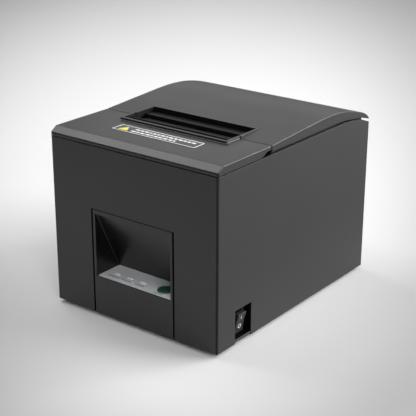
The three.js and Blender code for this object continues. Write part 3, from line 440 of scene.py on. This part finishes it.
# %% [markdown]
# ## Rounded edges
# No moulded edge is truly sharp. A radius of a third of a millimetre is what draws the thin bright
# and dark lines along the case, so it matters more than its size suggests. The frame's meshes are
# loose triangles, so a copy is merged and its flat faces are joined first. A Bevel modifier then
# rounds the outward edges, by a weight per edge: the upright corners of the case get the most, edges
# in a fine gap the least, and the hollow edges of a moulded recess are filled a little. Faces deep in
# a gap or a recess take a darker finish, which is painted shade: the same plastic made darker where
# little light gets in. The boxes below say where each of these holds.

# %% Softened copies of frame pieces
SHELL_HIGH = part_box("main_shell")[1]
SHARP = math.radians(25)


def welded(node):
    """Corners and faces of a frame piece, with the corners that share one place made one."""
    mesh = frame["nodes"][node].data
    corners = np.empty(len(mesh.vertices) * 3)
    loops = np.empty(len(mesh.loops), dtype=int)
    mesh.vertices.foreach_get("co", corners)
    mesh.loops.foreach_get("vertex_index", loops)
    corners = corners.reshape(-1, 3)
    places = np.round(corners / (0.001 * MM))
    _, first, merged = np.unique(places, axis=0, return_index=True, return_inverse=True)
    return corners[first], merged.ravel()[loops].reshape(-1, 3)


def finished(piece, nodes, material, body):
    """Gives a new piece its finish and its body, and hides the frame pieces it stands for."""
    if not piece.users_collection:
        scene.collection.objects.link(piece)
    piece.data.materials.append(material)
    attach(piece, body)
    if nodes:
        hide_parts(*nodes)
    return piece


def body_of(node):
    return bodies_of(frame["nodes"][node])[0]


FILLET_MM = 0.6
FINE_MM = 0.12


def within(point, boxes):
    """Whether a point is in any of the boxes, each ((x0, x1), (y0, y1), (z0, z1)) in millimetres."""
    return any(all(low < value / MM < high for value, (low, high) in zip(point, box)) for box in boxes)


def edge_radius(edge, radius_mm, corner_mm, shortest_mm, fillets, finer):
    """An edge's radius: a fillet in a hollow, none if it is short, most on an upright case corner."""
    a, b = edge.verts[0].co, edge.verts[1].co
    middle = (a + b) / 2
    if not edge.is_convex:
        return FILLET_MM if within(middle, fillets) else 0.0
    if (a - b).length < shortest_mm * MM:
        return 0.0
    upright = abs(a.x - b.x) + abs(a.y - b.y) < 0.01 * MM
    on_corner = abs(middle.x) > SHELL_HIGH[0] - 0.1 * MM and abs(middle.y) > SHELL_HIGH[1] - 0.1 * MM
    if corner_mm and upright and on_corner:
        return corner_mm
    return FINE_MM if within(middle, finer) else radius_mm


def softened(node, radius_mm, corner_mm=None, shortest_mm=1.2,
             fillets=(), finer=(), dark=(), second=None):
    """A copy of a frame piece with rounded edges: hollow edges in the boxes fillets are filled a
    little, outward edges in the boxes finer stay crisp, and faces in the boxes dark take the second
    finish, a painted shade."""
    corners, faces = welded(node)
    mesh = bpy.data.meshes.new(node + "_soft")
    mesh.from_pydata(corners.tolist(), [], faces.tolist())
    form = bmesh.new()
    form.from_mesh(mesh)
    bmesh.ops.dissolve_limit(form, angle_limit=math.radians(0.4), verts=form.verts, edges=form.edges)
    weight = form.edges.layers.float.new("bevel_weight_edge")
    widest = max(radius_mm, corner_mm or 0, FILLET_MM if fillets else 0)
    for edge in form.edges:
        if len(edge.link_faces) == 2 and edge.calc_face_angle() > SHARP:
            edge.smooth = False
            edge[weight] = edge_radius(edge, radius_mm, corner_mm, shortest_mm, fillets, finer) / widest
    for face in form.faces:
        face.smooth = True
        # Faces inside the boxes dark take the second material, where shade is painted on.
        face.material_index = int(within(face.calc_center_median(), dark))
    form.to_mesh(mesh)
    form.free()
    piece = bpy.data.objects.new(node + "_soft", mesh)
    scene.collection.objects.link(piece)
    bevel = piece.modifiers.new("rounded edges", "BEVEL")
    bevel.limit_method = "WEIGHT"
    bevel.width = widest * MM
    bevel.segments = 3
    bevel.use_clamp_overlap = False
    flats = piece.modifiers.new("flat faces stay flat", "WEIGHTED_NORMAL")
    flats.keep_sharp = True
    finished(piece, [node], FINISHES[slot_of[node]], body_of(node))
    if dark:
        mesh.materials.append(second)
    return piece


WALL_MM = 0.15    # how far a wall's box reaches to each side of it


def wall(axis, at, others):
    """A thin box round the plane where one coordinate has a value, within the other two ranges."""
    ranges = list(others)
    ranges.insert(axis, (at - WALL_MM, at + WALL_MM))
    return tuple(ranges)


# Where shade is painted: faces in SWITCH_RECESS, GROOVE_WALLS, RIB_FACES, STRIP_TOP, WINDOW_RECESS and
# EXIT_INSIDE take a darker finish. The other boxes only set edge radii.
SWITCH_RECESS = ((65.8, 72.2), (-74, -55.2), (5, 27.6))
SHELL_RIM = ((-73, 73), (-94, 94), (118.4, 126.8))
GROOVE_WALLS = [wall(0, side * x, ((-94, -88), (0, 82))) for side in (-1, 1) for x in (36.5, 35.3)]
GROOVE_WALLS += [wall(2, z, ((-37, 37), (-94, -88))) for z in (81.2, 81.0)]
RIB_FACES = [wall(0, side * 69.35, ((-33, 88), (119, 130))) for side in (-1, 1)]
STRIP_TOP = ((60, 72.5), (-74, -55), (5.5, 5.9))
WINDOW_RECESS = ((-33.5, 33.5), (-92.4, -69), (29.7, 77.9))
WINDOW_CREASE = ((-33.5, -33.1), (-84, -78), (50, 59))
EXIT_RIM = ((-48, 48), (-51, -35), (132.5, 134.4))
EXIT_EDGE = ((-48, 48), (-51, -12), (134.4, 134.8))
EXIT_INSIDE = ((-45.2, 45.2), (-48.4, -14.3), (120, 134.55))
CORNER_MM = 1.4

# Each second finish below is painted shade on the faces in its dark boxes.
softened("main_shell", 0.35, CORNER_MM, finer=[SHELL_RIM],
         dark=[SWITCH_RECESS, *GROOVE_WALLS, *RIB_FACES], second=deep_painted_shade)
softened("front_panel", 0.2, fillets=[WINDOW_CREASE],
         dark=[WINDOW_RECESS, *GROOVE_WALLS], second=recess_painted_shade)
for node in ("front_lid", "paper_cover"):
    softened(node, 0.55, CORNER_MM, fillets=[EXIT_RIM], finer=[EXIT_EDGE],
             dark=[EXIT_INSIDE], second=exit_painted_shade)
softened("bottom_tray", 0.25, dark=[STRIP_TOP], second=deep_painted_shade)

MOULDED_MM, FITTED_MM, TOOTH_MM = 0.25, 0.12, 0.06
MOULDED = ("paper_bucket", "cover_liner", "switch_housing", "power_rocker")
FITTED = (
    "keypad_plate", "platen_bushing_left", "platen_bushing_right", "dc_inlet", "drawer_port", "lan_port",
    "usb_port", "blade_holder", "paper_end_sensor", "heat_sink", "thermal_head", "mech_chassis",
    "platen_lock", "cutter_frame", "feed_key_switch", "main_board", "lamp_board",
)
TOOTHED = ("platen_gear", "idler_gear", "feed_pinion", "cutter_pinion", "cutter_blade", "fixed_blade")
for node in MOULDED:
    softened(node, MOULDED_MM)
for node in FITTED:
    softened(node, FITTED_MM)
for node in TOOTHED:
    softened(node, TOOTH_MM, shortest_mm=0.3)

# %% [markdown]
# ## Skins over rings
# Most small pieces are a stack of rings with a skin over them: a screw, a foot, a lens or a printed
# dash. So one helper skins any stack, and the pieces differ only in how their rings are worked out.
# Each ring runs anticlockwise when seen from its far end, which makes the faces point outwards.

# %% Skin a stack of rings
def skinned(rings):
    """Corners and faces over an array of shape (rings, points, 3): each face joins two neighbours on
    one ring to the two above them, and a cap closes each end."""
    count, points = rings.shape[:2]
    low = np.arange(count * points).reshape(count, points)[:-1]
    after = np.roll(low, -1, axis=1)
    quads = np.stack([low, after, after + points, low + points], axis=-1).reshape(-1, 4)
    caps = [list(range(points))[::-1], list(range((count - 1) * points, count * points))]
    return rings.reshape(-1, 3), quads.tolist() + caps


def gathered(shapes):
    """Several shapes as one: each shape's faces are counted on from the corners before it."""
    starts = np.cumsum([0] + [len(corners) for corners, _ in shapes]).tolist()
    faces = []
    for (_, own_faces), start in zip(shapes, starts):
        faces += [[index + start for index in face] for face in own_faces]
    return np.vstack([corners for corners, _ in shapes]), faces


def new_piece(name, shape, material, body, replaces=(), sharp_deg=35):
    """A mesh piece from corners and faces, with smooth shading up to sharp_deg between faces."""
    corners, faces = shape
    mesh = bpy.data.meshes.new(name)
    mesh.from_pydata((corners * MM).tolist(), [], faces)
    mesh.shade_smooth()
    mesh.set_sharp_from_angle(angle=math.radians(sharp_deg))
    return finished(bpy.data.objects.new(name, mesh), list(replaces), material, body)


def box_mm(node):
    """Low corner, high corner and middle of a frame piece, in millimetres."""
    low, high = (np.array(corner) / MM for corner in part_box(node))
    return low, high, (low + high) / 2


def along(axis, rings):
    """Turns rings stacked up Z so that they stack along another axis, without mirroring them."""
    return {"z": rings, "x": rings[..., [2, 0, 1]], "y": rings[..., [1, 2, 0]]}[axis]


# %% [markdown]
# ## Turned pieces
# Feet, screws, the button, the roller and the motors are all turned: a profile of radius against
# height, swept round an axis. A Spin or Screw modifier could do it too, but a formula gives the same
# rings in one line and leaves nothing to apply.

# %% Feet and button
def turned(profile, centre, sides=48, axis="z"):
    """Surface of revolution: each ring is (radius cos t, radius sin t, height) about the centre, and
    the centre is given in the axis's own order."""
    radius, height = np.array(profile, dtype=float).T
    t = 2 * np.pi * np.arange(sides) / sides
    rings = np.stack([
        centre[0] + radius[:, None] * np.cos(t), centre[1] + radius[:, None] * np.sin(t),
        np.repeat(height[:, None], sides, axis=1),
    ], axis=-1)
    return skinned(along(axis, rings))


def round_over(radius, low, high, edge, steps=5):
    """Profile of a disc whose upper edge is a quarter circle of the given radius."""
    t = np.linspace(0, np.pi / 2, steps)
    quarter = [(radius - edge + edge * math.cos(a), high - edge + edge * math.sin(a)) for a in t]
    return [(radius, low)] + quarter


for number in range(1, 5):
    node = f"rubber_foot_{number}"
    _, high, middle = box_mm(node)
    r = high[0] - middle[0]
    foot = [
        (0.2, 0.9), (r - 3.2, 0.9), (r - 2.6, 0.5), (r - 2.0, 0.05), (r - 1.6, 0.0), (r - 0.7, 0.0),
        (r - 0.3, 0.12), (r - 0.08, 0.4), (r, 0.8), (r, high[2]), (0.2, high[2]),
    ]
    new_piece(f"turned_foot_{number}", turned(foot, middle), rubber, "base", [node])

STEM_R, CAP_THICK, CAP_EDGE = 2.0, 1.9, 0.45
DISH_DEPTH, DISH_PART = 0.35, 0.86    # depth of the dish, and its part of the cap's radius
low, high, middle = box_mm("feed_button")
button_r = high[0] - middle[0]
out_to_in = np.linspace(1, 0.02, 10)
dish = [(button_r * DISH_PART * part, high[2] - DISH_DEPTH * (1 - part ** 2)) for part in out_to_in]
cap = [(0.3, low[2]), (STEM_R, low[2]), (STEM_R, high[2] - CAP_THICK)]
cap += round_over(button_r, high[2] - CAP_THICK, high[2], CAP_EDGE) + dish
new_piece("dished_button", turned(cap, middle, 64), button_plastic,
          body_of("feed_button"), ["feed_button"])
print("turned: four feet and the button")

# %% [markdown]
# The tray screws have a low domed head with a cross recess. The recess is worked out on a polar grid:
# the height falls where a point is close to either arm of the cross, with a soft shoulder.

# %% Screws with a cross recess
ARM_HALF, ARM_REACH = 0.42, 1.5                   # half the width of a recess arm, and its length
ARM_SHOULDER, END_SHOULDER = 0.12, 0.3            # how far its side and its end take to fall
DOME_RISE, RECESS_DEPTH = 0.35, 0.75


def cross_head(centre, radius, top, rim, rings=14, sides=64):
    """Head of a screw seen from below: height = top + dome (r / R)^2 + recess, where the recess is a
    smooth step of the distance to the nearer arm."""
    r = radius * np.linspace(1, 0.01, rings)[:, None]
    t = 2 * np.pi * np.arange(sides)[None] / sides
    x, y = r * np.cos(t), r * np.sin(t)
    arm = np.minimum(np.abs(x), np.abs(y))
    beside = np.clip((ARM_HALF - arm) / ARM_SHOULDER, 0, 1)
    inside = beside * np.clip((ARM_REACH - r) / END_SHOULDER, 0, 1)
    depth = DOME_RISE * (r / radius) ** 2 + RECESS_DEPTH * inside * inside * (3 - 2 * inside)
    face = np.stack([centre[0] + x, centre[1] - y, top + depth], axis=-1)
    side = np.stack([centre[0] + x[:1], centre[1] - y[:1], rim + 0 * t], axis=-1)
    return skinned(np.concatenate([side, face]))


THREAD_R, THREAD_DEPTH, POINT_LENGTH = 1.4, 0.3, 1.5


def threaded(centre, radius, low, high, pitch=0.9, sides=16, steps_per_turn=8):
    """Screw thread: the radius swings by a triangle wave of the height plus the turn, so that the
    crest climbs once per turn. The last of it tapers to a point."""
    levels = np.linspace(low, high, int((high - low) / pitch * steps_per_turn))[:, None]
    t = 2 * np.pi * np.arange(sides)[None] / sides
    wave = 2 * np.abs((levels / pitch - t / (2 * np.pi)) % 1 - 0.5)
    r = (radius - THREAD_DEPTH * wave) * np.clip((high - levels) / POINT_LENGTH, 0.15, 1)
    thread = [centre[0] + r * np.cos(t), centre[1] + r * np.sin(t), levels + 0 * t]
    return skinned(np.stack(thread, axis=-1))


HEAD_THICK = 1.3
for number in range(1, 5):
    node = f"tray_screw_{number}"
    low, high, middle = box_mm(node)
    head = cross_head(middle, high[0] - middle[0], low[2], low[2] + HEAD_THICK)
    shank = threaded(middle, THREAD_R, low[2] + HEAD_THICK - 0.1, high[2])
    new_piece(f"cross_screw_{number}", gathered([head, shank]), steel, "base", [node])
print("screws with", len(head[1]), "faces on each head")

# %% [markdown]
# ## Pads: lenses, label and print
# A pad is a stack of rounded rectangles: the outline shrinks by a quarter circle near the top, then
# closes inwards over a shallow dome. Lamp lenses are thick pads, a label is a thin one, and a printed
# dash is thinner still. The real label and keypad carry words. Here they carry plain dashes.

# %% Rounded pads
def rounded_outline(half_a, half_b, corner, steps=6):
    """Rounded rectangle: four quarter circles about the corner centres, anticlockwise."""
    t = np.linspace(0, np.pi / 2, steps)
    quarter = [(1, 1, 0), (-1, 1, 0.5), (-1, -1, 1), (1, -1, 1.5)]
    return np.concatenate([
        np.column_stack([a * (half_a - corner) + corner * np.cos(t + q * np.pi),
                         b * (half_b - corner) + corner * np.sin(t + q * np.pi)])
        for a, b, q in quarter
    ])


def pad(centre, half_a, half_b, corner, low, high, edge, dome=0.0):
    """Stack of rounded rectangles: inset edge (1 - cos t) at height edge sin t, then insets that
    close over a dome."""
    t = np.linspace(0, np.pi / 2, 5)
    inset = [0] + list(edge * (1 - np.cos(t)))
    height = [low] + list(high - dome - edge + edge * np.sin(t))
    if dome:
        s = np.linspace(0.15, 0.9, 5)
        inset += list(edge + (min(half_a, half_b) - edge) * s)
        height += list(high - dome * (1 - s) ** 2)
    rings = []
    for i, z in zip(inset, height):
        outline = rounded_outline(half_a - i, half_b - i, max(corner - i, 0.02)) + centre[:2]
        rings.append(np.column_stack([outline, np.full(len(outline), z)]))
    return skinned(np.array(rings))


def outline_strip(centre, half_a, half_b, corner, width, low, high):
    """A raised line along a rounded rectangle: a four-sided section carried round the outline and
    closed on itself."""
    outer = rounded_outline(half_a, half_b, corner) + centre[:2]
    inner = rounded_outline(half_a - width, half_b - width, max(corner - width, 0.02)) + centre[:2]
    section = ((inner, low), (outer, low), (outer, high), (inner, high), (inner, low))
    rings = np.array([np.column_stack([line, np.full(len(line), z)]) for line, z in section])
    corners, faces = skinned(rings)
    points = rings.shape[1]
    faces = [[i % (4 * points) for i in face] for face in faces[:-2]]
    return corners[:4 * points], faces


for number in range(1, 4):
    node = f"lamp_window_{number}"
    low, high, middle = box_mm(node)
    half = (high - low) / 2
    lens = pad(middle, half[0], half[1], 0.9, low[2], high[2], 0.25, dome=0.2)
    new_piece(f"lamp_lens_{number}", lens, lamp_plastic, "base", [node])
print("three lamp lenses")

# %% Label on the lid
INK = 0.03       # thickness of a printed mark
SUNK = 0.01      # how far a mark starts below the surface it is printed on
low, high, middle = box_mm("lid_label")
half = (high - low) / 2
film = pad(middle, half[0], half[1], 1.0, low[2], high[2], 0.06)
new_piece("label_pad", film, label_film, "base", ["lid_label"])
top = high[2]
border = outline_strip(middle, half[0], half[1], 1.0, 0.75, top - SUNK, top + INK)


def dashes(widths, gap, start, centre_b, half_b, low, high):
    """A row of pads of the given widths, each starting a gap after the last."""
    ends = start + np.cumsum([0] + [w + gap for w in widths[:-1]])
    return [pad((x + w / 2, centre_b), w / 2, half_b, 0.2, low, high, 0.01) for x, w in zip(ends, widths)]


dash_rng = np.random.default_rng(4)


def fitted_widths(length, gap, shortest, longest):
    """Random dash widths, scaled so that the row with its gaps has the given length."""
    count = int(round((length + gap) / ((shortest + longest) / 2 + gap)))
    widths = dash_rng.uniform(shortest, longest, count)
    return widths * (length - gap * (count - 1)) / widths.sum()


def printed(rows, gap, shortest, longest, half_b, top):
    """Rows of dashes on a surface at height top, each row given as its start, its end and its place."""
    return [
        mark for start, stop, place in rows
        for mark in dashes(fitted_widths(stop - start, gap, shortest, longest), gap, start, place,
                           half_b, top - SUNK, top + INK)
    ]


LABEL_ROWS = ((-21.0, 31.0, -63.1), (-21.5, 17.0, -67.3))
rows = printed(LABEL_ROWS, 0.9, 1.6, 4.2, 0.95, top)
new_piece("label_marks", gathered([border] + rows), label_ink, "base")

SIGN_MIDDLE, SIGN_REACH = (-28.4, -66.3), (5.0, 4.6)
third = np.pi / 2 + 2 * np.pi * np.arange(3) / 3
corner = np.column_stack([
    SIGN_MIDDLE[0] + SIGN_REACH[0] * np.cos(third), SIGN_MIDDLE[1] + SIGN_REACH[1] * np.sin(third),
])
sign = np.array([np.column_stack([corner, np.full(3, z)]) for z in (top - SUNK, top + INK)])
new_piece("label_triangle", skinned(sign), amber_ink, "base")
print("label marks:", len(rows), "dashes")

# %% Print on the keypad
KEYPAD_ROWS = ((-27.7, -17.6, -88.0), (-15.1, -6.6, -88.0), (-2.7, 4.9, -88.0), (16.2, 23.3, -90.4))
marks = printed(KEYPAD_ROWS, 0.35, 0.8, 1.5, 0.55, box_mm("keypad_plate")[1][2])
new_piece("keypad_marks", gathered(marks), keypad_ink, "base")
print("keypad marks:", len(marks), "dashes")

# %% [markdown]
# ## Power switch marks
# A rocker carries a bar for on and a ring for off, printed in white on its face. The face is two
# shallow slopes and the whole rocker leans, so the marks are worked out in the rocker's own axes, out
# of the face and up along it, and then leaned with it.

# %% Bar and ring
joint = next(j for j in frame["record"]["behaviour"]["joints"] if j["name"] == "power_rocker_turn")
PIVOT = np.array(joint["pos_m"]) / MM
LEAN = math.radians(joint["range_deg"][1] / 2)
KEY_FACE, KEY_DISH, KEY_HALF = 5.2, 0.35, 7.3     # face ahead of the pivot, its hollow, half its height


def leaned(shape):
    """Takes a shape from the rocker's axes (across, up, out of the face) into the frame: the face
    hollows by dish (1 - |up| / half), then everything turns about the pivot."""
    corners, faces = shape
    across, up, out = corners.T
    out = out + KEY_FACE - KEY_DISH * (1 - np.abs(up) / KEY_HALF)
    placed = np.column_stack([
        PIVOT[0] + out * math.cos(LEAN) + up * math.sin(LEAN), PIVOT[1] + across,
        PIVOT[2] + up * math.cos(LEAN) - out * math.sin(LEAN),
    ])
    return placed, faces


BAR_UP, RING_UP = 3.9, -3.2
bar = pad((0, BAR_UP), 0.22, 1.35, 0.15, -SUNK, INK, 0.01)
ring = outline_strip((0, RING_UP), 1.55, 1.6, 1.5, 0.4, -SUNK, INK)
marks = gathered([leaned(bar), leaned(ring)])
new_piece("switch_marks", marks, switch_ink, "power_key")
print("switch marks lean", round(math.degrees(LEAN), 1), "degrees")

# %% [markdown]
# ## Tear bar
# The bar that the paper is torn against has a row of fine teeth along its top. Its five-sided section
# is carried along X, and the top edge follows a triangle wave, so one tooth takes two stations.

# %% Toothed edge
TOOTH_PITCH, TOOTH_DEPTH = 1.2, 0.4
low, high, _ = box_mm("tear_bar")
teeth = int((high[0] - low[0]) / TOOTH_PITCH)
station = np.linspace(low[0], high[0], 2 * teeth + 1)
crest = high[2] - TOOTH_DEPTH * (np.arange(2 * teeth + 1) % 2)
y0, y1, z0 = low[1], high[1], low[2]
section = [(y0, z0 + 0 * crest), (y1, z0 + 0 * crest), (y1, crest - 0.5), (y0 + 0.45, crest), (y0, crest)]
bar = np.stack([np.column_stack([station, np.full_like(station, y), z]) for y, z in section], axis=1)
new_piece("toothed_bar", skinned(bar), inner_plastic,
          body_of("tear_bar"), ["tear_bar"])
print("teeth on the tear bar:", teeth)

# %% [markdown]
# ## Roller and motors
# The platen roller is ground rubber with a broken edge at each end. The motors are drawn steel cans
# with a raised seat for the bearing and a groove where the end cap is pressed on.

# %% Turned machine parts
low, high, middle = box_mm("platen_rubber")
r = high[2] - middle[2]
roller = [(2.4, low[0]), (r - 0.6, low[0]), (r - 0.2, low[0] + 0.15), (r, low[0] + 0.6)]
roller += [(radius, low[0] + high[0] - x) for radius, x in roller[::-1]]
new_piece("ground_roller", turned(roller, middle[1:], 64, "x"), rubber,
          body_of("platen_rubber"), ["platen_rubber"])


def motor_can(low, high, radius):
    """Profile of a motor: flat back, barrel with a groove for the end cap, shoulder, and at the far
    end the bearing seat."""
    far_end_first = [
        (1.0, low), (4.4, low), (4.6, low + 0.2), (4.6, low + 0.8), (radius - 1.4, low + 0.8),
        (radius - 0.4, low + 1.2), (radius, low + 2.2), (radius, high - 3.4),
        (radius - 0.35, high - 3.2), (radius - 0.35, high - 2.7), (radius, high - 2.5),
        (radius, high - 0.5), (radius - 0.5, high), (1.0, high),
    ]
    return [(r, low + high - place) for r, place in far_end_first[::-1]]


low, high, middle = box_mm("feed_motor")
can = motor_can(low[0], high[0], high[1] - middle[1])
new_piece("feed_motor_can", turned(can, middle[1:], 64, "x"), steel, "base", ["feed_motor"])
low, high, middle = box_mm("cutter_motor")
can = motor_can(low[2], high[2], high[0] - middle[0])
new_piece("cutter_motor_can", turned(can, middle, 64), steel, "base", ["cutter_motor"])


def ground_rod(node, name, chamfer):
    """A steel rod along X in place of a frame piece, with its ends cut back by a chamfer."""
    low, high, middle = box_mm(node)
    r = high[2] - middle[2]
    profile = [
        (0.3, low[0]), (r - chamfer, low[0]), (r, low[0] + chamfer),
        (r, high[0] - chamfer), (r - chamfer, high[0]), (0.3, high[0]),
    ]
    new_piece(name, turned(profile, middle[1:], 32, "x"), steel, body_of(node), [node])


ground_rod("platen_shaft", "ground_shaft", 0.3)
for side in ("left", "right"):
    ground_rod(f"hinge_pin_{side}", f"hinge_pin_turned_{side}", 0.4)
print("roller, shaft, pins and two motors")

# %% [markdown]
# ## Head springs
# Two coil springs press the print head against the roller. A round wire section is carried along a
# helix. The section stands square to the radius and to the spring's own axis, which is close enough
# for a coil this flat.

# %% Coil springs
WIRE_R, COILS = 0.35, 4
for side in ("left", "right"):
    name = f"head_spring_{side}"
    low, high, middle = box_mm(name)
    coil_r = (high[0] - low[0]) / 2 - WIRE_R
    t = np.linspace(0, 2 * np.pi * COILS, 28 * COILS)[:, None]
    p = 2 * np.pi * np.arange(10)[None] / 10
    reach = coil_r + WIRE_R * np.cos(p)
    fall = (high[1] - WIRE_R) - (high[1] - low[1] - 2 * WIRE_R) * t / t[-1]
    wire = [middle[0] + reach * np.cos(t), fall + WIRE_R * np.sin(p), middle[2] + reach * np.sin(t)]
    new_piece(f"coil_spring_{side}", skinned(np.stack(wire, axis=-1)), steel, "base", [name])
print("springs of", COILS, "coils")

# %% [markdown]
# ## Inside the ports
# A port is read by what shines inside it: a round pin in the power inlet, rows of gilt wires in the
# two modular ports, and a tongue in the data port. All are pads laid along Y, into the wall.

# %% Pins, wires and tongue
PORT_FACE = box_mm("dc_inlet")[1][1]


def into_wall(shape):
    """Turns a shape drawn up Z so that it lies along Y: (z, x, y) becomes (x, y, z)."""
    corners, faces = shape
    return corners[:, [1, 2, 0]], faces


_, _, middle = box_mm("dc_inlet")
pin = round_over(1.0, PORT_FACE - 8.9, PORT_FACE - 1.2, 0.5) + [(0.1, PORT_FACE - 1.2)]
new_piece("inlet_pin", turned(pin, (middle[2], middle[0]), 32, "y"), steel, "base")
for name, count, pitch, below_top in (("lan_port", 8, 1.02, 3.3), ("drawer_port", 6, 1.02, 3.5)):
    _, high, middle = box_mm(name)
    across = middle[0] + pitch * (np.arange(count) - (count - 1) / 2)
    wires = [
        into_wall(pad((high[2] - below_top, x), 0.15, 0.2, 0.08, PORT_FACE - 11.5, PORT_FACE - 2.5, 0.06))
        for x in across
    ]
    new_piece(name + "_wires", gathered(wires), gold_plate, "base")
_, _, middle = box_mm("usb_port")
tongue = into_wall(pad((middle[2], middle[0]), 1.5, 2.8, 0.3, PORT_FACE - 9.8, PORT_FACE - 1.5, 0.2))
new_piece("usb_tongue", tongue, ceramic, "base")
print("port details in place")
